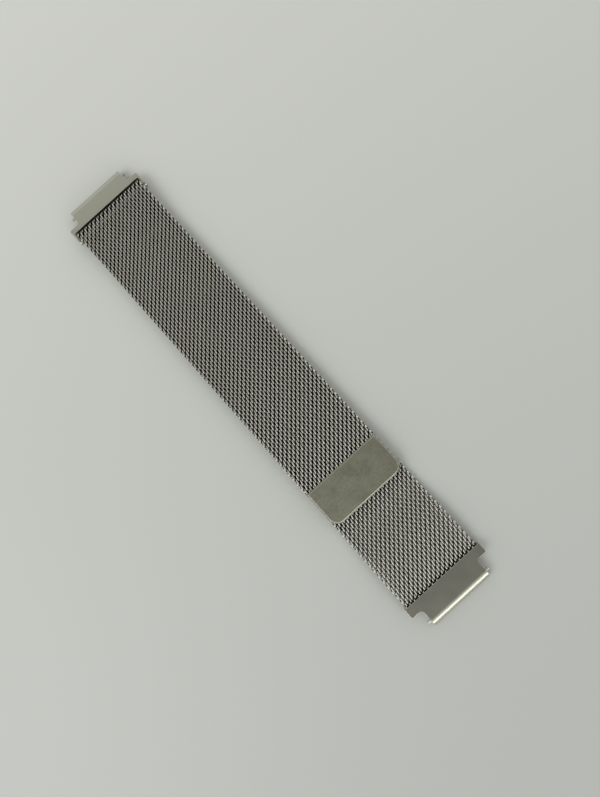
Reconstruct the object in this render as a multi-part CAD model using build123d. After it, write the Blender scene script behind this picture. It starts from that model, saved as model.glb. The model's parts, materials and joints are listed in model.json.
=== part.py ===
from build123d import *
from math import asin, cos, degrees, radians, sin, sqrt
import os

os.makedirs("parts", exist_ok=True)

# A milanese mesh watch band, fastened as a loop and laid flat, in millimetres.
# +X runs along the band from the loop connector to the fixed connector, +Y across it,
# +Z up from the table, which is Z = 0. One mesh strip is fixed in one connector, runs under
# the other connector's bar, folds round that bar and comes back on top to a magnetic clasp.

# Mesh strip
mesh_width = 22.0
mesh_thickness = 1.2
row_pitch = 0.775
rows_per_panel = 8
row_relief = 0.14
rows_per_groove = 2
openings_across = 5
opening_length_share = 0.32
opening_width_share = 0.34
opening_to_knuckle = 0.25
knuckle_clearance = 0.1
layer_gap = 0.15
fold_radial_clearance = 0.1

# How many panels each stretch of the strip has
lower_panels = 11
root_panels = 3
loop_strip_panels = 3
short_panels = 3
fold_rows = 7

# Slopes of the strip where it doesn't lie flat, in degrees
ramp_slope = 7.0
short_side_slopes = (8.0, 2.0, -5.0)

# Loop connector and its bar
bar_diameter = 1.3
bar_neck_diameter = 0.9
bar_end_height = 0.12
neck_clearance = 0.01
arm_thickness = 0.55
arm_end_radius = 0.9
arm_to_mesh_clearance = 0.25
slot_gap = 0.4
loop_base_depth = 1.4

# Fixed connector
fixed_base_depth = 2.5
fixed_wall_beside_mesh = 0.45
mesh_seat_depth = 1.5
seat_clearance = 0.03

# What both connectors share
connector_thickness = 2.3
tongue_side_step = 2.5
tongue_depth = 4.7
tongue_edge_land = 0.15
tongue_lip_depth = 2.9
tongue_foot_chamfer = 0.25
notch_radius = 0.9
corner_radius = 0.45

# Spring bars
spring_bar_bore_diameter = 1.6
spring_bar_bore_to_edge = 1.55
spring_bar_bore_height = 1.1
tube_clearance = 0.05
tube_wall = 0.12
tube_recess = 0.3
tube_lip = 0.4
tip_diameter = 0.7
tip_shank_diameter = 1.04
tip_reach = 0.9
plunger_length = 1.8
plunger_clearance = 0.03
plunger_gap = 0.02
spring_wall = 0.15

# Magnetic clasp
clasp_length = 10.4
clasp_side_inset = 0.2
clasp_roof = 0.55
clasp_wall = 0.45
clasp_corner_radius = 2.6
clasp_edge_chamfer = 0.3
clasp_mouth_offset = 2.6
clasp_tab_length = 2.3
clasp_fit = 0.03
back_plate_thickness = 0.3
magnet_count = 4
magnet_length = 5.0
magnet_gap = 0.3

# Derived sizes of the strip
half_thickness = mesh_thickness / 2
panel_length = row_pitch * rows_per_panel
cup_radius = half_thickness + knuckle_clearance
cup_edge = sqrt(cup_radius**2 - half_thickness**2)
opening_length = opening_length_share * panel_length
opening_pitch = mesh_width / openings_across
opening_width = opening_width_share * opening_pitch
layer_pitch = mesh_thickness + layer_gap
lower_height = half_thickness
upper_height = lower_height + layer_pitch
bar_radius = bar_diameter / 2
fold_inner_radius = bar_radius + fold_radial_clearance
fold_radius = fold_inner_radius + half_thickness
fold_outer_radius = fold_inner_radius + mesh_thickness
bar_height = lower_height + fold_radius

# Derived sizes of the clasp and the connectors, as widths and as distances from the bar's axis or from the mesh line
clasp_width = mesh_width - 2 * clasp_side_inset
tongue_width = mesh_width - 2 * tongue_side_step
slot_width = mesh_width + 2 * arm_to_mesh_clearance
loop_base_width = slot_width + 2 * arm_thickness
fixed_base_width = mesh_width + 2 * fixed_wall_beside_mesh + 2 * seat_clearance
bar_to_plate = fold_outer_radius + slot_gap
loop_reach = bar_to_plate + loop_base_depth + tongue_depth
fixed_reach = fixed_base_depth + tongue_depth
tongue_roll_radius = connector_thickness - tongue_foot_chamfer - tongue_edge_land
loop_plate_top = bar_height + arm_end_radius
loop_plate_bottom = loop_plate_top - connector_thickness


def along(start, slope, length):
    """The point that lies length from start, on a line that climbs by slope degrees."""
    x, z = start
    return (x + length * cos(radians(slope)), z + length * sin(radians(slope)))


def strip_route(bar_x):
    """Every hinge point of the strip, with the slope of each panel, for a bar at bar_x."""
    lower = [(bar_x + loop_strip_panels * panel_length, lower_height)]
    for _ in range(lower_panels):
        lower.append(along(lower[-1], 0, panel_length))
    root_end = along(lower[-1], 0, root_panels * panel_length)
    short = [root_end]
    for slope in short_side_slopes:
        short.append(along(short[-1], slope, panel_length))
    fold_end = (
        bar_x + fold_radius * sin(radians(ramp_slope)),
        bar_height + fold_radius * cos(radians(ramp_slope)),
    )
    upper = [fold_end, along(fold_end, -ramp_slope, panel_length)]
    second_slope = degrees(asin((upper[-1][1] - upper_height) / panel_length))
    upper.append(along(upper[-1], -second_slope, panel_length))
    for _ in range(lower_panels + 1):
        upper.append(along(upper[-1], 0, panel_length))
    slopes = [-ramp_slope, -second_slope] + [0.0] * (lower_panels + 1)
    return lower, short, upper, slopes


# The middle of the band's length is X = 0
_, short_at_zero, _, _ = strip_route(0)
bar_x = (loop_reach - short_at_zero[-1][0] - fixed_reach) / 2
lower_hinges, short_hinges, upper_hinges, upper_slopes = strip_route(bar_x)
mesh_line_x, mesh_line_z = short_hinges[-1]
plate_x = bar_x - bar_to_plate
clasp_x = upper_hinges[-1][0] + clasp_mouth_offset
clasp_bottom = upper_height - half_thickness
clasp_ceiling = upper_height + half_thickness + clasp_fit
clasp_top = clasp_ceiling + clasp_roof


def prism(points, width):
    """A solid whose outline in X and Z is points, as wide as width, across the band's middle."""
    with BuildPart() as body:
        with BuildSketch(Plane.XZ):
            with BuildLine():
                Polyline(*points, close=True)
            make_face()
        extrude(amount=width / 2, both=True)
    return body.part


def cross_cylinder(x, z, radius, width):
    """A round bar across the band, centred on its middle."""
    return Pos(x, 0, z) * Rot(90, 0, 0) * Cylinder(radius, width)


def grooved_edge(first_x, last_x, side):
    """The top (side 1) or bottom (side -1) line of a panel, with a groove between its rows."""
    points = [(first_x, side * half_thickness)]
    groove_pitch = rows_per_groove * row_pitch
    groove = 1
    while (groove + 0.5) * groove_pitch < last_x:
        points.append((groove * groove_pitch, side * (half_thickness - row_relief)))
        points.append(((groove + 0.5) * groove_pitch, side * half_thickness))
        groove += 1
    points.append((last_x, side * half_thickness))
    return points


def strip_piece(length, has_cup=True, has_nose=True, is_grooved=True):
    """A stretch of mesh along +X from the origin, with knuckles at its ends and maybe rows across it."""
    start = cup_edge if has_cup else 0
    if is_grooved:
        top = grooved_edge(start, length, 1)
        bottom = grooved_edge(start, length, -1)
    else:
        top = [(start, half_thickness), (length, half_thickness)]
        bottom = [(start, -half_thickness), (length, -half_thickness)]
    piece = prism(top + bottom[::-1], mesh_width)
    if has_cup:
        piece -= cross_cylinder(0, 0, cup_radius, mesh_width)
    if has_nose:
        piece += cross_cylinder(length, 0, half_thickness, mesh_width)
    return piece


def open_panel():
    """A panel pierced by two staggered rows of openings, as the weave is between its wires."""
    row_x = cup_radius + opening_to_knuckle + opening_length / 2
    with BuildPart() as openings:
        with BuildSketch(Plane.XY.offset(-half_thickness)):
            for row in (0, 1):
                with Locations((row_x + row * panel_length / 2, 0)):
                    with GridLocations(opening_pitch, opening_pitch, 1, openings_across - row):
                        Rectangle(opening_length, opening_width)
        extrude(amount=mesh_thickness)
    return strip_piece(panel_length, is_grooved=False) - openings.part


def placed(piece, point, slope):
    """A piece of strip turned to its slope and moved to its hinge point."""
    return Pos(point[0], 0, point[1]) * Rot(0, -slope, 0) * piece


def mesh_fold():
    """The half turn of the strip round the loop connector's bar, grooved on its outside."""
    swept = 180 - ramp_slope
    outer = []
    for step in range(2 * fold_rows + 1):
        angle = radians(-90 - swept * step / (2 * fold_rows))
        radius = fold_outer_radius - (row_relief if step % 2 else 0)
        outer.append((bar_x + radius * cos(angle), bar_height + radius * sin(angle)))
    sector = prism(outer + [(bar_x, bar_height)], mesh_width)
    sector -= cross_cylinder(bar_x, bar_height, fold_inner_radius, mesh_width)
    nose_x, nose_z = upper_hinges[0]
    return sector + cross_cylinder(nose_x, nose_z, half_thickness, mesh_width)


def mesh_short_end():
    """The last panel of the short side, with the end that sits in the fixed connector."""
    point, slope = short_hinges[-2], short_side_slopes[-1]
    piece = placed(open_panel(), point, slope)
    seat = Box(mesh_seat_depth, mesh_width, mesh_thickness, align=(Align.MIN, Align.CENTER, Align.CENTER))
    return piece + Pos(mesh_line_x, 0, mesh_line_z) * seat


def mesh_clasp_end():
    """The strip's own end, narrowed where the clasp holds it."""
    open_part = strip_piece(clasp_mouth_offset - clasp_fit, has_nose=False)
    tab_width = clasp_width - 2 * clasp_wall - 2 * clasp_fit
    tab_length = clasp_tab_length + clasp_fit
    tab = Box(tab_length, tab_width, mesh_thickness, align=(Align.MIN, Align.CENTER, Align.CENTER))
    end = open_part + Pos(clasp_mouth_offset - clasp_fit, 0, 0) * tab
    return placed(end, upper_hinges[-1], 0)


def t_plan(base_depth, base_width, height):
    """The T outline of a connector seen from above: base at X = 0, tongue towards +X."""
    reach = base_depth + tongue_depth
    outline = [
        (0, -base_width / 2),
        (base_depth, -base_width / 2),
        (base_depth, -tongue_width / 2),
        (reach, -tongue_width / 2),
        (reach, tongue_width / 2),
        (base_depth, tongue_width / 2),
        (base_depth, base_width / 2),
        (0, base_width / 2),
    ]
    with BuildPart() as plan:
        with BuildSketch():
            with BuildLine():
                Polyline(*outline, close=True)
            make_face()
        extrude(amount=height)
        upright = plan.edges().filter_by(Axis.Z)
        notches = [e for e in upright if abs(abs(e.center().Y) - tongue_width / 2) < corner_radius
                   and abs(e.center().X - base_depth) < corner_radius]
        fillet(notches, notch_radius)
        upright = plan.edges().filter_by(Axis.Z)
        shoulders = [e for e in upright if abs(abs(e.center().Y) - base_width / 2) < corner_radius / 2
                     and abs(e.center().X - base_depth) < corner_radius / 2]
        fillet(shoulders, corner_radius)
    return plan.part


def tongue_side(base_depth, base_width, bottom, top):
    """The side outline of a connector, its outer edge rolled down to the table."""
    reach = base_depth + tongue_depth
    with BuildPart() as side:
        with BuildSketch(Plane.XZ):
            with BuildLine():
                Line((0, bottom), (0, top))
                Line((0, top), (reach - tongue_roll_radius, top))
                JernArc((reach - tongue_roll_radius, top), (1, 0), tongue_roll_radius, -90)
                Line((reach, top - tongue_roll_radius), (reach, tongue_foot_chamfer))
                Line((reach, tongue_foot_chamfer), (reach - tongue_foot_chamfer, 0))
                Line((reach - tongue_foot_chamfer, 0), (reach - tongue_lip_depth, 0))
                if bottom > 0:
                    Line((reach - tongue_lip_depth, 0), (reach - tongue_lip_depth - bottom, bottom))
                    Line((reach - tongue_lip_depth - bottom, bottom), (0, bottom))
                else:
                    Line((reach - tongue_lip_depth, 0), (0, 0))
            make_face()
        extrude(amount=base_width, both=True)
    return side.part


def connector_plate(base_depth, base_width, bottom, top):
    """A T-shaped plate with a rolled tongue and the bore of its spring bar."""
    plate = t_plan(base_depth, base_width, top) & tongue_side(base_depth, base_width, bottom, top)
    bore_x = base_depth + tongue_depth - spring_bar_bore_to_edge
    bore_radius = spring_bar_bore_diameter / 2
    return plate - cross_cylinder(bore_x, spring_bar_bore_height, bore_radius, base_width)


def fixed_connector():
    """The connector that the strip is fixed in, with the pocket for the strip's end."""
    plate = connector_plate(fixed_base_depth, fixed_base_width, 0, connector_thickness)
    plate = Pos(mesh_line_x, 0, 0) * plate
    depth = mesh_seat_depth + seat_clearance
    width = mesh_width + 2 * seat_clearance
    height = mesh_thickness + 2 * seat_clearance
    pocket = Box(depth, width, height, align=(Align.MIN, Align.CENTER, Align.CENTER))
    return plate - Pos(mesh_line_x, 0, mesh_line_z) * pocket


def loop_connector_frame():
    """The connector that the strip loops through: a plate with two arms that carry the bar."""
    plate = connector_plate(loop_base_depth, loop_base_width, loop_plate_bottom, loop_plate_top)
    frame = Pos(plate_x, 0, 0) * Rot(0, 0, 180) * plate
    arm_length = bar_to_plate + loop_base_depth / 2
    for side in (-1, 1):
        arm_y = side * (slot_width + arm_thickness) / 2
        web = Box(arm_length, arm_thickness, 2 * arm_end_radius, align=(Align.MAX, Align.CENTER, Align.CENTER))
        eye = Rot(90, 0, 0) * Cylinder(arm_end_radius, arm_thickness)
        frame += Pos(bar_x, arm_y, bar_height) * (web + eye)
    hole_radius = bar_neck_diameter / 2 + neck_clearance
    return frame - cross_cylinder(bar_x, bar_height, hole_radius, 2 * loop_base_width)


def loop_bar():
    """The bar across the slot, with thinner necks whose ends stand a little proud of the arms."""
    shoulder = slot_width / 2 - seat_clearance
    end = loop_base_width / 2 + bar_end_height
    neck_radius = bar_neck_diameter / 2
    half = [(0, end), (neck_radius, end), (neck_radius, shoulder), (bar_radius, shoulder)]
    mirrored = [(x, -y) for x, y in half[::-1]]
    with BuildPart() as bar:
        with BuildSketch(Plane.XY):
            with BuildLine():
                Polyline(*half, *mirrored, close=True)
            make_face()
        revolve(axis=Axis.Y)
    return Pos(bar_x, 0, bar_height) * bar.part


# Derived sizes of a spring bar, as radii and as distances from its middle
tube_outer_radius = spring_bar_bore_diameter / 2 - tube_clearance
tube_inner_radius = tube_outer_radius - tube_wall
tube_end = tongue_width / 2 - tube_recess
tip_radius = tip_diameter / 2
shank_radius = tip_shank_diameter / 2
lip_radius = shank_radius + plunger_clearance
plunger_radius = tube_inner_radius - plunger_clearance
plunger_end = tube_end - tube_lip - plunger_gap
tip_end = tongue_width / 2 + tip_reach


def ring(outer_radius, inner_radius, first_y, last_y):
    """A sleeve round the Y axis from first_y to last_y."""
    sleeve = Cylinder(outer_radius, last_y - first_y) - Cylinder(inner_radius, last_y - first_y)
    return Pos(0, (first_y + last_y) / 2, 0) * Rot(90, 0, 0) * sleeve


def rod(radius, first_y, last_y):
    """A round rod on the Y axis from first_y to last_y."""
    return Pos(0, (first_y + last_y) / 2, 0) * Rot(90, 0, 0) * Cylinder(radius, last_y - first_y)


def spring_bar_tube():
    """The spring bar's tube, with a lip turned in at each end that keeps the tips in."""
    tube = ring(tube_outer_radius, tube_inner_radius, -tube_end, tube_end)
    for side in (-1, 1):
        lip_ends = sorted((side * (tube_end - tube_lip), side * tube_end))
        tube += ring(tube_outer_radius, lip_radius, *lip_ends)
    return tube


def spring_bar_spring():
    """The space of the coil spring between the two tips, as a sleeve of its outer size."""
    end = plunger_end - plunger_length - plunger_gap
    return ring(plunger_radius, plunger_radius - spring_wall, -end, end)


def spring_bar_tip():
    """The tip at the +Y end: a plunger in the tube, a shank and the pin for the case's hole."""
    tip = rod(plunger_radius, plunger_end - plunger_length, plunger_end)
    tip += rod(shank_radius, plunger_end, tongue_width / 2)
    return tip + rod(tip_radius, tongue_width / 2, tip_end)


def clasp_shell(inset, bottom, top):
    """A block with the clasp's outline, inset all round but open at the end where the mesh enters."""
    length = clasp_length - inset
    width = clasp_width - 2 * inset
    with BuildPart() as shell:
        with BuildSketch(Plane.XY.offset(bottom)):
            Rectangle(length, width, align=(Align.MIN, Align.CENTER))
        extrude(amount=top - bottom)
        free = [e for e in shell.edges().filter_by(Axis.Z) if abs(e.center().X - length) < clasp_fit]
        fillet(free, clasp_corner_radius - inset)
    return shell.part


def clasp_cover():
    """The clasp's cover, a shallow tray turned over, with bevelled edges on top."""
    outer = clasp_shell(0, clasp_bottom, clasp_top)
    rim = [e for e in outer.edges() if abs(e.center().Z - clasp_top) < clasp_fit]
    outer = chamfer(rim, clasp_edge_chamfer)
    cover = outer - clasp_shell(clasp_wall, clasp_bottom - clasp_roof, clasp_ceiling)
    return Pos(clasp_x, 0, 0) * cover


def clasp_back_plate():
    """The thin sheet that closes the clasp below its magnets."""
    plate = clasp_shell(clasp_wall + clasp_fit, clasp_bottom, clasp_bottom + back_plate_thickness)
    kept = Box(
        clasp_length, clasp_width, clasp_top, align=(Align.MIN, Align.CENTER, Align.MIN)
    )
    return Pos(clasp_x, 0, 0) * (plate & Pos(clasp_tab_length + clasp_wall / 2, 0, 0) * kept)


def clasp_magnets():
    """A row of block magnets between the back plate and the cover's roof."""
    inner_width = clasp_width - 2 * clasp_wall
    magnet_width = (inner_width - (magnet_count + 1) * magnet_gap) / magnet_count
    bottom = clasp_bottom + back_plate_thickness + clasp_fit
    height = clasp_ceiling - clasp_fit - bottom
    first_x = clasp_x + clasp_tab_length + clasp_wall
    blocks = []
    for n in range(magnet_count):
        y = (n - (magnet_count - 1) / 2) * (magnet_width + magnet_gap)
        block = Box(magnet_length, magnet_width, height, align=(Align.MIN, Align.CENTER, Align.MIN))
        blocks.append(Pos(first_x, y, bottom) * block)
    return Compound(children=blocks)


def make_lower_strip():
    """The strip's lower layer, from the fold to the fixed connector."""
    nodes = {"mesh_fold": mesh_fold()}
    loop_strip = strip_piece(loop_strip_panels * panel_length, has_cup=False)
    nodes["mesh_loop_strip"] = placed(loop_strip, (bar_x, lower_height), 0)
    for n in range(lower_panels):
        name = f"mesh_lower_{lower_panels - n:02d}"
        nodes[name] = placed(strip_piece(panel_length), lower_hinges[n], 0)
    under_clasp = strip_piece(root_panels * panel_length)
    nodes["mesh_under_clasp"] = placed(under_clasp, lower_hinges[-1], 0)
    for n in range(short_panels - 1):
        nodes[f"mesh_short_{n + 1:02d}"] = placed(open_panel(), short_hinges[n], short_side_slopes[n])
    nodes["mesh_short_end"] = mesh_short_end()
    return nodes


def make_upper_strip():
    """The strip's upper layer, from the fold back to the clasp."""
    nodes = {}
    for n, slope in enumerate(upper_slopes):
        nodes[f"mesh_upper_{n + 1:02d}"] = placed(open_panel(), upper_hinges[n], slope)
    nodes["mesh_clasp_end"] = mesh_clasp_end()
    return nodes


def make_spring_bar(prefix, x):
    """One connector's spring bar: its tube, its spring and its two tips."""
    place = Pos(x, 0, spring_bar_bore_height)
    return {
        f"{prefix}_spring_bar_tube": place * spring_bar_tube(),
        f"{prefix}_spring_bar_spring": place * spring_bar_spring(),
        f"{prefix}_spring_bar_tip_left": place * Rot(180, 0, 0) * spring_bar_tip(),
        f"{prefix}_spring_bar_tip_right": place * spring_bar_tip(),
    }


def make_band():
    """Every node of the band by name."""
    nodes = make_lower_strip()
    nodes.update(make_upper_strip())
    nodes["fixed_connector"] = fixed_connector()
    nodes["loop_connector_frame"] = loop_connector_frame()
    nodes["loop_bar"] = loop_bar()
    loop_bore_x = plate_x - loop_base_depth - tongue_depth + spring_bar_bore_to_edge
    fixed_bore_x = mesh_line_x + fixed_reach - spring_bar_bore_to_edge
    nodes.update(make_spring_bar("loop", loop_bore_x))
    nodes.update(make_spring_bar("fixed", fixed_bore_x))
    nodes["clasp_cover"] = clasp_cover()
    nodes["clasp_back_plate"] = clasp_back_plate()
    nodes["clasp_magnets"] = clasp_magnets()
    return nodes


for name, node in make_band().items():
    export_step(node, f"parts/{name}.step")
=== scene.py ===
# %% [markdown]
# A milanese band is a strip of flat wire coils. Each coil runs across the band and is screwed
# into the coil before it, so the strip bends at every row. Here the strip is fixed in one
# connector, runs round the bar of the other one and comes back on top to a magnetic clasp.
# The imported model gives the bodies, the joints and the sizes, and everything below is built
# around it, in metres.

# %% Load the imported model
import json
from functools import partial
from math import atan, atan2, cos, degrees, pi, radians, sin, tan, tau
import bmesh
import bpy
from mathutils import Matrix, Vector

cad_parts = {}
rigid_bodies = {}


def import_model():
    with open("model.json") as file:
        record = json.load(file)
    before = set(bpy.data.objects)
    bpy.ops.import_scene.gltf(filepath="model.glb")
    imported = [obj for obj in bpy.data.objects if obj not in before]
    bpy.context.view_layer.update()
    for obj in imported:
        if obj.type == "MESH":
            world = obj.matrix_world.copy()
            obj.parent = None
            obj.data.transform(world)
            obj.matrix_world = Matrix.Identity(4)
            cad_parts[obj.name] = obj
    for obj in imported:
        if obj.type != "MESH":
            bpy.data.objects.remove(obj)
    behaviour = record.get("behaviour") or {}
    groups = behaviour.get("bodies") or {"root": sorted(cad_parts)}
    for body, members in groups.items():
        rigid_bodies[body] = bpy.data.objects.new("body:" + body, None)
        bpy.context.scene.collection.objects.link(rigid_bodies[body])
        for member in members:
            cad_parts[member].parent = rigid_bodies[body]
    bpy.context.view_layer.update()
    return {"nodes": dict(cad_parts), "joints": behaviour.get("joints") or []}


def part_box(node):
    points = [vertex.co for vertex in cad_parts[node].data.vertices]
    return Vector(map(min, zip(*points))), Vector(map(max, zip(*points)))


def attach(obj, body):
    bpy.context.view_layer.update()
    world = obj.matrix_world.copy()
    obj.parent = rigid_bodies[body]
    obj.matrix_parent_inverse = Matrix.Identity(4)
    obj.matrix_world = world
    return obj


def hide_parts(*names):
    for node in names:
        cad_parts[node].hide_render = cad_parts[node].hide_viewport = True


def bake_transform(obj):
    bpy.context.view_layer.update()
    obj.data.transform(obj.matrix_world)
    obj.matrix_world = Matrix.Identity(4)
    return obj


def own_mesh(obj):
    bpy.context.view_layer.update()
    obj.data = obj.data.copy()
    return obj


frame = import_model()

mm = 0.001


def new_object(name, data):
    """An object with this data, put into the scene."""
    thing = bpy.data.objects.new(name, data)
    bpy.context.collection.objects.link(thing)
    return thing


# %% [markdown]
# The camera stands nearly above the band, a little towards its right half, as a phone is held
# over a table. Its place, its direction and its upright are three vectors, and a right-handed
# set of axes made from them is the whole of its rotation. The field of view is set for the
# picture's height, because the picture is 600 wide and 797 high.

# %% Camera
picture_height = 797
focal_pixels = 600
camera_place = Vector((35.07, 2.64, 146.84)) * mm
camera_direction = Vector((-0.1729, 0.0060, -0.9849)).normalized()
camera_upright = Vector((-0.7278, 0.6730, 0.1318))

camera_right = camera_direction.cross(camera_upright).normalized()
camera_up = camera_right.cross(camera_direction)
camera_axes = Matrix((camera_right, camera_up, -camera_direction)).transposed()
camera_data = bpy.data.cameras.new("camera")
camera_data.sensor_fit = "VERTICAL"
camera_data.angle = 2 * atan(picture_height / 2 / focal_pixels)
camera_data.clip_start = 1 * mm
camera = new_object("camera", camera_data)
camera.matrix_world = Matrix.Translation(camera_place) @ camera_axes.to_4x4()
bpy.context.scene.camera = camera
print("vertical field of view", round(degrees(camera_data.angle), 1), "degrees")

# %% [markdown]
# Small helpers come first. A material is a small graph of nodes, and a graph is easier to read
# when one call adds a node, sets its values and links what is already made. The sums, the
# changes of range and the mixed colours that come up again and again have calls of their own.

# %% Helpers for node trees
def add_node(tree, kind, settings=None, **values):
    """A new node in tree. Settings are its own options, values its inputs: numbers or sockets."""
    node = tree.nodes.new(kind)
    for name, value in (settings or {}).items():
        setattr(node, name, value)
    for name, value in values.items():
        socket = node.inputs[int(name[1:])] if name[0] == "_" else node.inputs[name.replace("_", " ")]
        if isinstance(value, bpy.types.NodeSocket):
            tree.links.new(value, socket)
        else:
            socket.default_value = value
    return node


def math_node(tree, operation, *values):
    """The result of one Math node."""
    inputs = {f"_{n}": value for n, value in enumerate(values)}
    return add_node(tree, "ShaderNodeMath", {"operation": operation}, **inputs).outputs[0]


def mapped(tree, value, low, high, start=0.0, end=1.0, curve="LINEAR"):
    """Value taken from the range low to high to the range start to end."""
    return add_node(tree, "ShaderNodeMapRange", {"interpolation_type": curve},
                    Value=value, _1=low, _2=high, _3=start, _4=end).outputs[0]


def mixed_colour(tree, share, first, second):
    """A colour between two others, each of them red, green and blue, or a socket."""
    first, second = (c if isinstance(c, bpy.types.NodeSocket) else (*c, 1) for c in (first, second))
    return add_node(tree, "ShaderNodeMix", {"data_type": "RGBA"},
                    Factor=share, _6=first, _7=second).outputs[2]


def new_material(name):
    """A material with its node tree and its shader."""
    material = bpy.data.materials.new(name)
    material.use_nodes = True
    return material, material.node_tree, material.node_tree.nodes["Principled BSDF"]


print("helpers ready")

# %% [markdown]
# All of the metal here is stainless steel, apart from the magnets' nickel, and what differs is
# how it was finished. So one function makes every metal: a fully metallic surface, with a tone
# that drifts a little, a roughness that drifts twice as much, and a fine bump. Where a part was
# brushed, the noise is stretched along the brushing, which is how long thin scratches come from
# round noise. A painted texture could do the same, but noise has no seam, and it runs on over
# an edge without being laid out flat first.
#
# The woven wire has something more: painted shade in the hollows between the wires. Each point
# of the weave carries a value called crest, 1 on a face of the strip and less in a hollow, and
# the material turns from black and dull, which is painted shade, to clean metal with it.
# Real shadows alone would leave the hollows too light, since polished wires mirror each other.

# %% Noise and hollows
hollow_roughness = 0.9
hollow_shade_black = (0, 0, 0)


def noise(tree, place, size, detail):
    """Noise whose lumps are about this size."""
    waves = add_node(tree, "ShaderNodeTexNoise", Vector=place, Scale=1 / size, Detail=detail)
    return waves.outputs["Fac"]


def painted_hollow_shade(tree, shader, tone, rough, low, high):
    """Tone and roughness that turn from black and dull, painted shade where crest is low, to clean
    metal.
    """
    crest = add_node(tree, "ShaderNodeAttribute", {"attribute_name": "crest"}).outputs["Fac"]
    # Where crest is low the colour turns black: painted shade in the hollows between the wires.
    unshaded_share = mapped(tree, crest, low, high, curve="SMOOTHSTEP")
    tree.links.new(unshaded_share, shader.inputs["Metallic"])
    shader.inputs["Specular IOR Level"].default_value = 0.0
    dull = math_node(tree, "SUBTRACT", hollow_roughness, unshaded_share)
    return mixed_colour(tree, unshaded_share, hollow_shade_black, tone), math_node(tree, "MAXIMUM", rough, dull)


print("noise and hollows ready")

# %% One function for every metal
fine_detail = 3.0
patch_size = 4 * mm
patch_detail = 2.0
patch_share = 0.5
noise_low, noise_high = 0.3, 0.7
scratch_depth = 0.01 * mm


def steel(name, colour, roughness, grain=(1, 1, 1), grain_size=0.1 * mm, scratch=0.0, drift=0.05,
          hollow=None):
    """A metal whose tone drifts by drift, with scratches along the axis where grain is small.

    Hollow is the two values of crest between which the painted shade of a hollow turns into clean
    metal.
    """
    material, tree, shader = new_material(name)
    shader.inputs["Metallic"].default_value = 1.0
    place = add_node(tree, "ShaderNodeTexCoord").outputs["Object"]
    stretched = add_node(tree, "ShaderNodeMapping", _0=place, Scale=grain).outputs[0]
    fine = noise(tree, stretched, grain_size, fine_detail)
    broad = noise(tree, place, patch_size, patch_detail)
    patches = add_node(tree, "ShaderNodeMix", {"data_type": "FLOAT"},
                       Factor=patch_share, _2=fine, _3=broad).outputs[0]
    darker, lighter = ([c * (1 + change) for c in colour] for change in (-drift, drift))
    tone = mixed_colour(tree, patches, darker, lighter)
    smoother, rougher = (roughness * (1 + change) for change in (-2 * drift, 2 * drift))
    rough = mapped(tree, patches, noise_low, noise_high, smoother, rougher)
    if hollow:
        tone, rough = painted_hollow_shade(tree, shader, tone, rough, *hollow)
    tree.links.new(tone, shader.inputs["Base Color"])
    tree.links.new(rough, shader.inputs["Roughness"])
    if scratch:
        bump = add_node(tree, "ShaderNodeBump", Strength=scratch, Distance=scratch_depth, Height=fine)
        tree.links.new(bump.outputs[0], shader.inputs["Normal"])
    return material


print("steel ready, with scratches of", scratch_depth / mm, "mm")

# %% The finishes
# The hollow setting paints shade into the hollows between the wires.
wire_steel = steel("wire_steel", (0.53, 0.52, 0.46), roughness=0.28, hollow=(0.83, 0.99))
satin_steel = steel("satin_steel", (0.42, 0.42, 0.347), roughness=0.33, grain=(1, 0.06, 1),
                    scratch=0.25, drift=0.04)
clasp_satin = steel("clasp_satin", (0.278, 0.281, 0.212), roughness=0.47, grain=(1, 0.3, 1),
                    grain_size=0.25 * mm, scratch=0.3, drift=0.08)
bevel_steel = steel("bevel_steel", (0.50, 0.50, 0.44), roughness=0.34)
turned_steel = steel("turned_steel", (0.50, 0.50, 0.48), roughness=0.35, grain=(0.1, 1, 0.1),
                     scratch=0.15)
nickel = steel("nickel", (0.62, 0.60, 0.57), roughness=0.18)
print(len(bpy.data.materials), "materials")

# %% [markdown]
# One coil of the mesh is a wire wound round a flat core. Seen from the side of the band it goes
# back and forth as a cosine and up and down as a sine, and it moves across the band by one turn
# pitch per turn. The next coil starts half a turn later, which puts its loops between the
# strands of this one, so the two are linked and no wire cuts another. A sine alone makes a
# round coil. A real one is rolled flat, so the sine is raised to a power below 1, which keeps a
# strand near a face for longer, and the strand sways a little to both sides in each turn.
#
# It could be one curve per coil, copied with an array, but every row has its own place along a
# bent strip. Geometry Nodes wind all the rows of a piece at once: straight first, then meshed,
# pressed flat on both faces as rolling does, and last of all bent along the strip's route.
# Where a piece starts in a shadow, a painted shadow fades its crests in. For all other pieces
# that fade is over a long way before the start.

# %% The sizes of the woven strip
strip_width = 22.0 * mm
strip_thickness = 1.2 * mm
row_pitch = 0.775 * mm
wire_radius = 0.185 * mm
coil_width = 1.72 * mm
rolled_flat = 0.08 * mm
sine_power = 0.4
sway = 0.03 * mm
turns_across = 15.5
turn_pitch = (strip_width - 2 * wire_radius) / turns_across
points_per_turn = 12
wire_sides = 8
rows_per_panel = 8
half_rows = rows_per_panel // 2
half_panel = row_pitch * half_rows
straight_enough = 1e-5
unshaded_to, unshaded_from = -1.0, -0.9


def wire_points(turns):
    """The number of points on a coil of this many turns, with a quarter turn more at each end."""
    return int((turns + 0.5) * points_per_turn) + 1


print("one turn every", round(turn_pitch / mm, 3), "mm across the band")


# %% Trees that make a piece
def new_tree(name, numbers):
    """A Geometry Nodes group whose inputs are these named numbers and a material."""
    tree = bpy.data.node_groups.new(name, "GeometryNodeTree")
    tree.interface.new_socket("Geometry", in_out="OUTPUT", socket_type="NodeSocketGeometry")
    for label, value in numbers.items():
        kind = "NodeSocketInt" if isinstance(value, int) else "NodeSocketFloat"
        tree.interface.new_socket(label, in_out="INPUT", socket_type=kind).default_value = value
    tree.interface.new_socket("Material", in_out="INPUT", socket_type="NodeSocketMaterial")
    return tree, tree.nodes.new("NodeGroupInput").outputs


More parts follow.
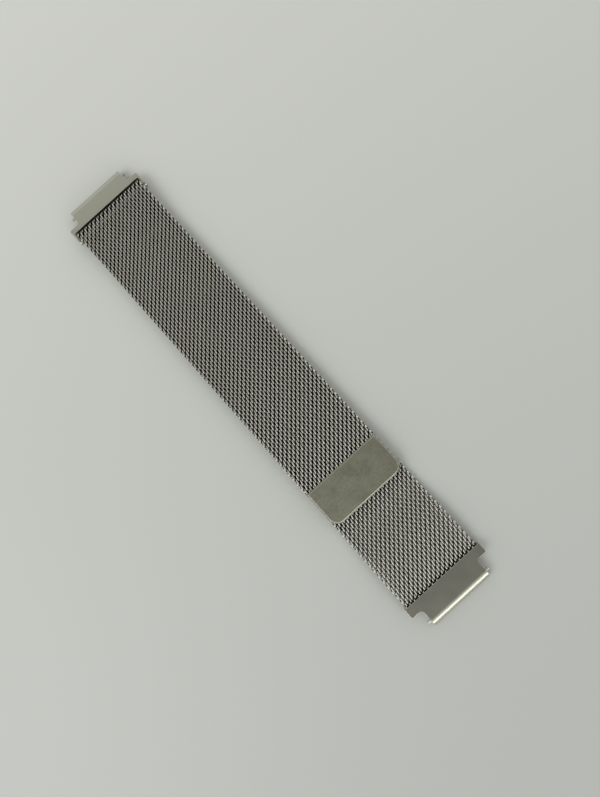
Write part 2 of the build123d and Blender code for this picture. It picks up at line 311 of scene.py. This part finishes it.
def close_tree(tree, geometry, material):
    """Ends a group: smooth shading, plain geometry, the material."""
    smooth = add_node(tree, "GeometryNodeSetShadeSmooth", Geometry=geometry)
    real = add_node(tree, "GeometryNodeRealizeInstances", Geometry=smooth.outputs[0])
    painted = add_node(tree, "GeometryNodeSetMaterial", Geometry=real.outputs[0], Material=material)
    tree.links.new(painted.outputs[0], tree.nodes.new("NodeGroupOutput").inputs[0])


def baked(tree, name, inputs):
    """A plain mesh object made by a node group with these inputs."""
    maker = new_object("maker", bpy.data.meshes.new("maker"))
    modifier = maker.modifiers.new("tree", "NODES")
    modifier.node_group = tree
    for item in tree.interface.items_tree:
        if item.in_out == "INPUT" and item.name in inputs:
            modifier[item.identifier] = inputs[item.name]
    bpy.context.view_layer.update()
    evaluated = maker.evaluated_get(bpy.context.evaluated_depsgraph_get())
    mesh = bpy.data.meshes.new_from_object(evaluated)
    mesh.name = name
    bpy.data.objects.remove(maker)
    return new_object(name, mesh)


print("trees can be made and baked")


# %% Helpers inside a tree
def swept(tree, curve, radius, sides):
    """A closed tube along a curve."""
    ring = add_node(tree, "GeometryNodeCurvePrimitiveCircle", Resolution=sides, Radius=radius)
    return add_node(tree, "GeometryNodeCurveToMesh", Curve=curve, Profile_Curve=ring.outputs[0],
                    Fill_Caps=True).outputs[0]


def vector(tree, x=0.0, y=0.0, z=0.0):
    """A vector from numbers or sockets."""
    return add_node(tree, "ShaderNodeCombineXYZ", X=x, Y=y, Z=z).outputs[0]


def position(tree):
    """The X, Y and Z of each point."""
    here = add_node(tree, "GeometryNodeInputPosition").outputs[0]
    return add_node(tree, "ShaderNodeSeparateXYZ", Vector=here).outputs


def moved(tree, geometry, place):
    """Geometry with each point put at place."""
    return add_node(tree, "GeometryNodeSetPosition", Geometry=geometry, Position=place).outputs[0]


def marked(tree, geometry, domain, name, value):
    """Geometry that carries a value under a name."""
    return add_node(tree, "GeometryNodeStoreNamedAttribute", {"data_type": "FLOAT", "domain": domain},
                    Geometry=geometry, Name=name, Value=value).outputs[0]


def within(tree, value, limit):
    """Value kept between -limit and limit."""
    return math_node(tree, "MAXIMUM", math_node(tree, "MINIMUM", value, limit),
                     math_node(tree, "MULTIPLY", limit, -1.0))


print("tree helpers ready")


# %% Lay out and wind the wires
def straight_wires(tree, given, reach):
    """One straight wire across the band per row, and the number of the row that a wire is in."""
    first = vector(tree, y=math_node(tree, "MULTIPLY", reach, -1.0))
    line = add_node(tree, "GeometryNodeCurvePrimitiveLine", Start=first, End=vector(tree, y=reach))
    wire = add_node(tree, "GeometryNodeResampleCurve", Curve=line.outputs[0], Count=given["Points"])
    rows = add_node(tree, "GeometryNodeMeshLine", Count=given["Rows"])
    each = add_node(tree, "GeometryNodeInstanceOnPoints", Points=rows.outputs[0],
                    Instance=wire.outputs[0])
    index = add_node(tree, "GeometryNodeInputIndex").outputs[0]
    counted = marked(tree, each.outputs[0], "INSTANCE", "row", index)
    wires = add_node(tree, "GeometryNodeRealizeInstances", Geometry=counted)
    row = add_node(tree, "GeometryNodeInputNamedAttribute", {"data_type": "FLOAT"}, Name="row")
    return wires.outputs[0], row.outputs[0]


def wound(tree, given, wires, row, edge, face):
    """The wires as coils, each next one half a turn later."""
    m = partial(math_node, tree)
    across = position(tree)["Y"]
    turned = m("MULTIPLY", m("DIVIDE", m("ADD", across, edge), given["Turn pitch"]), tau)
    phase = m("ADD", turned, m("MULTIPLY", m("ADD", row, given["First row"]), pi))
    step = m("DIVIDE", given["Length"], given["Rows"])
    row_x = m("MULTIPLY", m("ADD", row, 0.5), step)
    x = m("ADD", row_x, m("MULTIPLY", m("COSINE", phase), m("DIVIDE", given["Coil width"], 2.0)))
    swayed = m("ADD", across, m("MULTIPLY", m("SINE", m("MULTIPLY", phase, 2.0)), given["Sway"]))
    sine = m("SINE", phase)
    flatter_sine = m("MULTIPLY", m("SIGN", sine), m("POWER", m("ABSOLUTE", sine), given["Sine power"]))
    half_height = m("SUBTRACT", m("ADD", face, given["Rolled flat"]), given["Wire radius"])
    z = m("MULTIPLY", flatter_sine, half_height)
    return moved(tree, wires, vector(tree, x, within(tree, swayed, edge), z))


print("winding ready")


# %% Find the crests and bend the strip
def crest_with_painted_light_and_shade(tree, given, spot, flat_z, edge, face):
    """How near a point is to a face or a side of the strip, with painted shadow after a shaded start
    and painted light in the hollows.
    """
    m = partial(math_node, tree)
    past_edge = m("SUBTRACT", m("ABSOLUTE", spot["Y"]), m("SUBTRACT", edge, given["Wire radius"]))
    side = m("DIVIDE", past_edge, m("MULTIPLY", given["Wire radius"], 2.0))
    crest = m("MAXIMUM", m("DIVIDE", m("ABSOLUTE", flat_z), face), side)
    # Least crest paints light into the hollows, where light comes through a single layer.
    crest = m("MAXIMUM", crest, given["Least crest"])
    # Painted shadow: the crests fade in from Shaded to until Clear from.
    shade = mapped(tree, spot["X"], given["Shaded to"], given["Clear from"], curve="SMOOTHSTEP")
    return m("MULTIPLY", crest, shade)


def bent(tree, given, spot, flat_z):
    """Places on the bent strip: its heading turns evenly, and a point keeps its height above it."""
    m = partial(math_node, tree)
    turn = m("MULTIPLY", given["Bend"], m("DIVIDE", spot["X"], given["Length"]))
    half_turn = m("DIVIDE", turn, 2.0)
    chord_angle = m("ADD", given["Heading"], half_turn)
    heading = m("ADD", given["Heading"], turn)
    chord = m("MULTIPLY", spot["X"], m("DIVIDE", m("SINE", half_turn), half_turn))
    x = m("ADD", given["Start X"], m("MULTIPLY", chord, m("COSINE", chord_angle)))
    z = m("ADD", given["Start Z"], m("MULTIPLY", chord, m("SINE", chord_angle)))
    x = m("SUBTRACT", x, m("MULTIPLY", flat_z, m("SINE", heading)))
    z = m("ADD", z, m("MULTIPLY", flat_z, m("COSINE", heading)))
    return vector(tree, x, spot["Y"], z)


print("bending ready")


# %% The weaving tree
def weaving_tree():
    """A node group that weaves rows of coil along a straight or evenly bent stretch of strip."""
    tree, given = new_tree("weave", {
        "Rows": rows_per_panel, "First row": 0, "Points": wire_points(turns_across),
        "Length": row_pitch, "Start X": 0.0, "Start Z": 0.0, "Heading": 0.0, "Bend": 0.0,
        "Width": strip_width, "Thickness": strip_thickness, "Rolled flat": rolled_flat,
        "Turn pitch": turn_pitch, "Coil width": coil_width, "Wire radius": wire_radius,
        "Sine power": sine_power, "Sway": sway,
        "Shaded to": unshaded_to, "Clear from": unshaded_from, "Least crest": 0.0,
    })
    m = partial(math_node, tree)
    edge = m("SUBTRACT", m("DIVIDE", given["Width"], 2.0), given["Wire radius"])
    face = m("DIVIDE", given["Thickness"], 2.0)
    quarter_turn = m("DIVIDE", given["Turn pitch"], 4.0)
    wires, row = straight_wires(tree, given, m("ADD", edge, quarter_turn))
    coils = wound(tree, given, wires, row, edge, face)
    tubes = swept(tree, coils, given["Wire radius"], wire_sides)
    spot = position(tree)
    flat_z = within(tree, spot["Z"], face)
    crest = crest_with_painted_light_and_shade(tree, given, spot, flat_z, edge, face)
    crested = marked(tree, tubes, "POINT", "crest", crest)
    close_tree(tree, moved(tree, crested, bent(tree, given, spot, flat_z)), given["Material"])
    return tree


weave = weaving_tree()
print("the weave has", len(weave.nodes), "nodes")

# %% [markdown]
# The strip's route is already in the joints: each one stands in for the bending of eight rows.
# A woven piece therefore runs from the middle of one panel to the middle of the next, over one
# joint, and is baked where it lies, on no body. The strip is walked once, from the fixed connector
# to the clasp, so that the rows go on alternating from piece to piece.

# %% The joints along the strip
def numbered(stem, first, last):
    """Names with two digits each, from first to last."""
    return [f"{stem}_{n:02d}" for n in range(first, last + 1)]


joint_place = {j["name"]: Vector(j["pos_m"]) for j in frame["joints"] if "pos_m" in j}
joint_bodies = {j["name"]: (j["parent"], j["child"]) for j in frame["joints"]}
lower_joints = ["short_bend_03", "short_bend_02", "short_side_curl", "long_side_curl"]
lower_joints += numbered("long_lower_bend", 2, 12)
upper_joints = ["clasp_opening", *numbered("opening_bend", 2, 3), *numbered("long_upper_bend", 1, 12)]
lower_places = [joint_place[name] for name in lower_joints]
upper_places = [joint_place[name] for name in upper_joints]
bar_place = joint_place["loop_connector_swivel"]
print(len(lower_joints) + len(upper_joints), "bends")

# %% One stretch after another
strip_row = 0


def heading_to(a, b):
    """The heading from a to b in the plane of the strip's route, between -90 and 270 degrees."""
    angle = atan2(b.z - a.z, b.x - a.x)
    return angle if angle > -pi / 2 else angle + tau


def along(place, heading, length):
    """The point that lies length further on from place."""
    return place + Vector((cos(heading), 0, sin(heading))) * length


def stretch(name, start, heading, rows, length, bend=0.0, **more):
    """One woven piece from start. It counts its rows on, so that the next one alternates with it.

    A straight piece still bends by a trace, because the tree divides by the bend.
    """
    global strip_row
    piece = baked(weave, name, {
        "Rows": rows, "First row": strip_row, "Start X": start.x, "Start Z": start.z,
        "Heading": heading, "Bend": bend or straight_enough, "Length": length,
        "Material": wire_steel, **more,
    })
    strip_row += rows
    return piece


print("route ready")


# %% A piece over one joint
def bend_over(joint, start_heading, end_heading, rows_after=half_rows, **more):
    """The piece over one joint, from half a panel before it, and where it starts and ends.

    It is an arc that touches both legs of the route, so it is shorter than the legs together.
    """
    place = joint_place[joint]
    start = along(place, start_heading, -half_panel)
    end = along(place, end_heading, rows_after * row_pitch)
    bend = end_heading - start_heading
    rows = half_rows + rows_after
    arc = rows * row_pitch
    if abs(bend) > straight_enough:
        arc *= bend / 2 / tan(bend / 2)
    return stretch(f"mesh_{joint}", start, start_heading, rows, arc, bend, **more), start, end


def ride_blend(piece, joint, first_body):
    """Bakes piece where it lies, on no body, and returns the joint's body other than first_body."""
    parent, child = joint_bodies[joint]
    second_body = child if first_body == parent else parent
    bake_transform(piece)
    return second_body


print("a panel is", round(2 * half_panel / mm, 2), "mm long")

# %% [markdown]
# The strip begins in the fixed connector's seat. Just outside it the mesh lies in the shadow of
# the plate's edge, in a gap too narrow for light, so a painted shadow fades the crests in over the
# first half row.
# The short side is a single layer, and light from the table comes through it from below, so light
# is painted into its hollows, which never go quite black. Both are inputs of the weaving tree.

# %% Weave the end in the fixed connector
end_slope = radians(-5)
seated_rows = 1
# Painted shadow beside the fixed connector's plate, over this stretch of the first piece.
painted_shadow_start = 0.1 * mm
painted_shadow_end = 0.41 * mm
# Painted light in the hollows of the single-layer short side.
painted_light_through = {"Least crest": 0.865}
mesh_line = along(lower_places[0], end_slope, rows_per_panel * row_pitch)
seat_start = mesh_line + Vector((seated_rows * row_pitch, 0, 0))
seat = stretch("mesh_in_seat", seat_start, pi, seated_rows, row_pitch)
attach(seat, "fixed_end")
first_heading = pi + end_slope
rigid = stretch("mesh_short_side_end", mesh_line, first_heading, half_rows, half_panel,
                **{"Shaded to": painted_shadow_start, "Clear from": painted_shadow_end, **painted_light_through})
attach(rigid, "fixed_end")
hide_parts("mesh_short_end")
print("mesh line at", [round(v / mm, 2) for v in mesh_line])

# %% Weave the lower layer, on to the loop connector
loop_start = Vector((bar_place.x, 0, lower_places[-1].z))
headings = [first_heading]
headings += [heading_to(a, b) for a, b in zip(lower_places, lower_places[1:] + [loop_start])]
covered_rows = 2 * rows_per_panel
replaced = {
    "short_bend_03": "mesh_short_02",
    "short_bend_02": "mesh_short_01",
    "short_side_curl": "mesh_under_clasp",
    "long_side_curl": "mesh_lower_01",
}
replaced.update(zip(numbered("long_lower_bend", 2, 11), numbered("mesh_lower", 2, 11)))
body = "fixed_end"
for n, joint in enumerate(lower_joints):
    light = painted_light_through if joint.startswith("short") else {}
    piece, start, end = bend_over(joint, headings[n], headings[n + 1], **light)
    body = ride_blend(piece, joint, body)
    if joint in replaced:
        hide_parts(replaced[joint])
    if body == "under_clasp":
        middle = stretch("mesh_under_clasp_middle", end, headings[n + 1],
                         covered_rows, covered_rows * row_pitch)
        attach(middle, body)
        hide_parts("mesh_under_clasp")
print(strip_row, "rows so far, now at", [round(v / mm, 2) for v in end])

# %% [markdown]
# Round the bar the strip makes half a turn. The fold rides with the loop's end, and the rows
# after it are baked where they lie, on no body.

# %% Weave the fold round the bar
loop_rows = 20
fold_rows = 5
fold_rows_on_bar = 3
fold_rows_on_top = fold_rows - fold_rows_on_bar
straight = stretch("mesh_loop_strip_woven", end, pi, loop_rows, end.x - bar_place.x)
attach(straight, "loop_end")
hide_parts("mesh_loop_strip")
fold_radius = bar_place.z - strip_thickness / 2
upper_headings = [heading_to(a, b) for a, b in zip(upper_places, upper_places[1:])] + [0.0]
row_turn = (upper_headings[0] - pi) / fold_rows
row_arc = fold_radius * abs(row_turn)
loop_bottom = Vector((bar_place.x, 0, bar_place.z - fold_radius))
fold = stretch("mesh_fold_woven", loop_bottom, pi,
               fold_rows_on_bar, fold_rows_on_bar * row_arc, fold_rows_on_bar * row_turn)
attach(fold, "loop_end")
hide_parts("mesh_fold")
top_heading = pi + fold_rows_on_bar * row_turn
top_start = bar_place + Vector((-sin(top_heading), 0, cos(top_heading))) * fold_radius
fold_top = stretch("mesh_fold_top", top_start, top_heading,
                   fold_rows_on_top, fold_rows_on_top * row_arc, fold_rows_on_top * row_turn)
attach(fold_top, "loop_end")
print("fold of", fold_rows, "rows,", round(row_arc / mm, 3), "mm apart")

# %% Weave the upper layer, from the fold back to the clasp
mouth_rows = 3
opened = upper_places[0]
first_upper = stretch("mesh_clasp_opening", opened, upper_headings[0], half_rows, half_panel)
body = ride_blend(first_upper, upper_joints[0], "loop_end")
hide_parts("mesh_upper_01")
for n, joint in enumerate(upper_joints[1:], 1):
    rows_after = mouth_rows if joint == upper_joints[-1] else half_rows
    piece, start, end = bend_over(joint, upper_headings[n - 1], upper_headings[n], rows_after)
    body = ride_blend(piece, joint, body)
    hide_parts(f"mesh_upper_{n + 1:02d}" if body != "clasp" else "mesh_clasp_end")
print(strip_row, "rows in all, now at", [round(v / mm, 2) for v in end], "on", body)

# %% [markdown]
# The clasp holds the strip's own end, which is cut one turn narrower to fit between its sides.
# Half a turn less on each side moves the winding by half a turn, and one more row moves it
# back, so that the tab's coils still link with those before them.

# %% Weave the end that the clasp holds
tab_turns = turns_across - 1
tab_width = tab_turns * turn_pitch + 2 * wire_radius
tab_rows = 3
row_shift = 1
strip_row += row_shift
tab = stretch("mesh_clasp_tab", end, 0.0, tab_rows, tab_rows * row_pitch,
              Width=tab_width, Points=wire_points(tab_turns))
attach(tab, "clasp")
print("tab", round(tab_width / mm, 2), "mm wide")

# %% [markdown]
# The plates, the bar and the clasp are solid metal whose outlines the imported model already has.
# They could be modelled a second time here, but then two outlines would have to be kept equal.
# What that model lacks is the worked edge: every real edge here was broken by a file or a
# tumbler, and catches the light as a fine line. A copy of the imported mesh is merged, its flat
# faces are joined into one each, and a Bevel modifier breaks the edges, with a second material
# for the polished strip that this leaves. Smooth shading would then bend the light over the
# flat faces as well, from one rounded edge to the next. A Weighted Normal modifier stops that:
# the largest face at an edge has the most say, so what is flat looks flat.

# %% Finish a solid part
same_place = 0.001 * mm
flat_angle = radians(0.5)
edge_angle = radians(30)
edge_segments = 3


def merged_copy(node):
    """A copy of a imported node's mesh with its points merged and each flat face in one piece."""
    mesh = frame["nodes"][node].data.copy()
    shape = bmesh.new()
    shape.from_mesh(mesh)
    bmesh.ops.remove_doubles(shape, verts=shape.verts, dist=same_place)
    bmesh.ops.dissolve_limit(shape, angle_limit=flat_angle, verts=shape.verts, edges=shape.edges)
    for face in shape.faces:
        face.smooth = True
        face.material_index = 0
    shape.to_mesh(mesh)
    shape.free()
    return mesh


def finished(node, name, body, finish, edge_width, edge_finish=None):
    """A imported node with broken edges, which rides on body in place of the node."""
    mesh = merged_copy(node)
    mesh.materials.clear()
    mesh.materials.append(finish)
    mesh.materials.append(edge_finish or finish)
    piece = new_object(name, mesh)
    bevel = piece.modifiers.new("broken edges", "BEVEL")
    bevel.width = edge_width
    bevel.segments = edge_segments
    bevel.limit_method = "ANGLE"
    bevel.angle_limit = edge_angle
    bevel.use_clamp_overlap = False
    bevel.material = 1
    weighted = piece.modifiers.new("flat faces stay flat", "WEIGHTED_NORMAL")
    weighted.mode = "FACE_AREA"
    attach(piece, body)
    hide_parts(node)


print("edges over", round(degrees(edge_angle)), "degrees are broken")

# %% Finish the plates, the bar and the clasp
plate_edge = 0.08 * mm
bar_edge = 0.04 * mm
cover_edge = 0.05 * mm
sheet_edge = 0.04 * mm
magnet_edge = 0.12 * mm
finished("fixed_connector", "fixed_connector_plate", "fixed_end",
         satin_steel, plate_edge, bevel_steel)
finished("loop_connector_frame", "loop_connector_plate", "loop_connector",
         satin_steel, plate_edge, bevel_steel)
finished("loop_bar", "loop_bar_turned", "loop_connector", bevel_steel, bar_edge)
finished("clasp_cover", "clasp_cover_pressed", "clasp",
         clasp_satin, cover_edge, bevel_steel)
finished("clasp_back_plate", "clasp_back_sheet", "clasp",
         clasp_satin, sheet_edge, bevel_steel)
finished("clasp_magnets", "clasp_magnet_blocks", "clasp", nickel, magnet_edge)
print("plates, bar and clasp finished")

# %% Finish the spring bars
tube_edge = 0.03 * mm
tip_edge = 0.06 * mm
ends = {"loop": "loop_connector", "fixed": "fixed_end"}
sides = {"left": -1, "right": 1}
for end_name, body in ends.items():
    finished(f"{end_name}_spring_bar_tube", f"{end_name}_bar_tube", body,
             turned_steel, tube_edge)
    for side in sides:
        finished(f"{end_name}_spring_bar_tip_{side}", f"{end_name}_bar_tip_{side}",
                 f"{end_name}_tip_{side}", turned_steel, tip_edge)
print(len(ends), "spring bars finished")

# %% [markdown]
# Inside each tube a coil spring pushes the two tips apart. It is the plainest thing to wind:
# Geometry Nodes has a spiral, and a small circle swept along it is the wire. Each spring is made
# as two halves, one from the middle towards each tip, and both ride on their connector.

# %% The spring tree
spring_wire = 0.15 * mm
spring_turns_per_half = 17
spring_steps_per_turn = 16
spring_wire_sides = 6


def spring_tree():
    """A node group that winds a coil spring along Z from the origin."""
    tree, given = new_tree("spring", {"Radius": 0.0, "Length": 0.0})
    coil = add_node(tree, "GeometryNodeCurveSpiral", Resolution=spring_steps_per_turn,
                    Rotations=float(spring_turns_per_half), Height=given["Length"],
                    Start_Radius=given["Radius"], End_Radius=given["Radius"])
    tube = swept(tree, coil.outputs[0], spring_wire / 2, spring_wire_sides)
    close_tree(tree, tube, given["Material"])
    return tree


spring = spring_tree()
print("the spring has", len(spring.nodes), "nodes")


# %% Wind the springs
def spring_half(name, radius, length, middle, sign):
    """Half a spring that starts at middle and goes along Y, to the side that sign gives."""
    piece = baked(spring, name, {"Radius": radius, "Length": length, "Material": turned_steel})
    start = Matrix.Translation(middle + Vector((0, sign * spring_wire / 2, 0)))
    piece.data.transform(start @ Matrix.Rotation(-sign * pi / 2, 4, "X"))
    return piece


for end_name, body in ends.items():
    node = f"{end_name}_spring_bar_spring"
    low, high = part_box(node)
    middle = (low + high) / 2
    reach = high.y - middle.y
    radius = (high.x - low.x) / 2 - spring_wire / 2
    for side, sign in sides.items():
        name = f"{end_name}_bar_spring_{side}"
        piece = spring_half(name, radius, reach - spring_wire, middle, sign)
        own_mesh(piece)
        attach(piece, body)
        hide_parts(node)
print("springs", round(reach / mm, 2), "mm from the middle to each end")

# %% [markdown]
# The band lies on a plain pale table in daylight. The floor is one large face, a little under
# the band so that no face of the two coincides, and the even falloff of daylight across a room is
# painted into its colour: painted light towards the loop connector, painted shade towards the
# fixed connector. The sky is pale near the horizon and dark overhead, as a room with light walls
# and a dark ceiling is. Flat metal mirrors the dark part, and that is why it looks darker than
# the table. Two soft lamps stand for the rest of the room. The window is large and gives the soft
# shadow. The wall is low beyond the fixed connector, where only a steep face can mirror it, and
# draws the bright line along that connector's rolled edge.

# %% Floor
floor_half_size = 1.0
floor_depth = 0.02 * mm
painted_light_towards = (-0.95, 0.31, 0)
falloff_reach = 130 * mm
# The two ends of the painted light falloff across the table.
table_in_painted_shade = (0.442, 0.453, 0.430)
table_in_painted_light = (0.644, 0.661, 0.615)
table_roughness = 0.45
floor_mesh = bpy.data.meshes.new("floor")
floor_shape = bmesh.new()
bmesh.ops.create_grid(floor_shape, x_segments=1, y_segments=1, size=floor_half_size)
floor_shape.to_mesh(floor_mesh)
floor_shape.free()
floor_mesh.transform(Matrix.Translation((0, 0, -floor_depth)))
floor = new_object("floor", floor_mesh)
table, table_tree, table_shader = new_material("table")
on_table = add_node(table_tree, "ShaderNodeTexCoord").outputs["Object"]
# Painted light: the table's colour is lighter towards one side, as light falls across a room.
towards_painted_light = add_node(table_tree, "ShaderNodeVectorMath", {"operation": "DOT_PRODUCT"},
                    _0=on_table, _1=painted_light_towards).outputs["Value"]
share = mapped(table_tree, towards_painted_light, -falloff_reach, falloff_reach)
table_with_painted_falloff = mixed_colour(table_tree, share, table_in_painted_shade, table_in_painted_light)
table_tree.links.new(table_with_painted_falloff, table_shader.inputs["Base Color"])
table_shader.inputs["Roughness"].default_value = table_roughness
floor_mesh.materials.append(table)
print("floor", 2 * floor_half_size, "m wide")

# %% Sky and lamps
dark_from, darkest_at = 0.74, 1.0
pale_strength, dark_strength = 0.88, 0.12
sky_colour = (1.0, 1.0, 0.985, 1)
world = bpy.data.worlds.new("room")
bpy.context.scene.world = world
world.use_nodes = True
sky = world.node_tree
background = sky.nodes["Background"]
direction = add_node(sky, "ShaderNodeTexCoord").outputs["Generated"]
upward = add_node(sky, "ShaderNodeSeparateXYZ", Vector=direction).outputs["Z"]
strength = mapped(sky, upward, dark_from, darkest_at, pale_strength, dark_strength, curve="SMOOTHSTEP")
sky.links.new(strength, background.inputs["Strength"])
background.inputs["Color"].default_value = sky_colour


def soft_lamp(name, place, width, height, watts):
    """A rectangular lamp at place that faces the band."""
    data = bpy.data.lights.new(name, "AREA")
    data.shape = "RECTANGLE"
    data.size = width
    data.size_y = height
    data.energy = watts
    lamp = new_object(name, data)
    lamp.matrix_world = Matrix.Translation(place) @ place.to_track_quat("Z", "Y").to_matrix().to_4x4()


soft_lamp("window", Vector((0.05, -0.55, 0.60)), width=0.60, height=0.45, watts=2.0)
soft_lamp("wall", Vector((0.75, -0.10, 0.24)), width=0.50, height=0.28, watts=1.5)
print("sky and lamps ready")

# %% Colour and finish
bpy.context.scene.view_settings.view_transform = "Standard"
